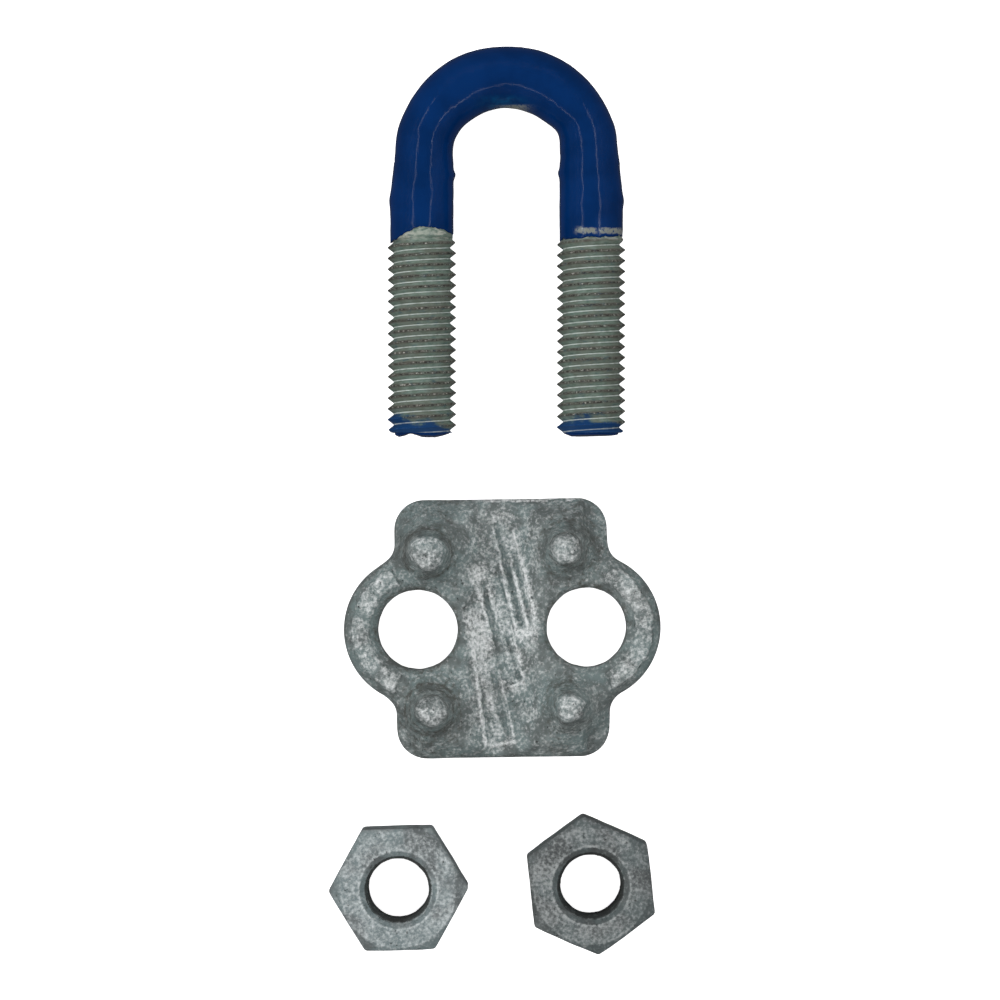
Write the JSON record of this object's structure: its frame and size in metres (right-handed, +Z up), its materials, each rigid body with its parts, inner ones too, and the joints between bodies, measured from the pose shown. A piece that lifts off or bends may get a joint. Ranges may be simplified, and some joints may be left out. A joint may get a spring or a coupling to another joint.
{
  "type": "wire rope clip",
  "caption": "Forged wire rope clip for 13 mm rope, taken apart and laid flat: U-bolt with painted bow, saddle with rope groove and horns, hex nuts.",
  "frame": {"origin": "on the bench, under the middle of the laid-out set", "axes": "+Z up from the bench, +Y from the nuts towards the bow of the U-bolt, +X to the right of that"},
  "size_m": [0.0615, 0.1686, 0.0174],
  "materials": {
    "galvanised_thread": "satin",
    "blue_paint": "gloss",
    "galvanised_forging": "matte",
    "galvanised_nut": "matte"
  },
  "bodies": {
    "nut_left": {"nut_left": "galvanised_nut"},
    "u_bolt": {"u_bolt": "galvanised_thread", "bow_paint": "blue_paint", "tip_paint": "blue_paint"},
    "saddle": {"saddle": "galvanised_forging"},
    "nut_right": {"nut_right": "galvanised_nut"}
  },
  "joints": [
    {"name": "u_bolt_stand", "type": "hinge", "parent": "nut_left", "child": "u_bolt", "pos_m": [0.0021, -0.01248, -0.00537], "axis": [1, 0, 0], "range_deg": [0, 90]},
    {"name": "saddle_travel", "type": "slide", "parent": "nut_left", "child": "saddle", "axis": [0, 0, 1], "range_m": [0, 0.059]},
    {"name": "nut_right_spin", "type": "hinge", "parent": "nut_left", "child": "nut_right", "pos_m": [0.01775, -0.0716, 0], "axis": [0, 0, 1], "continuous": true}
  ]
}
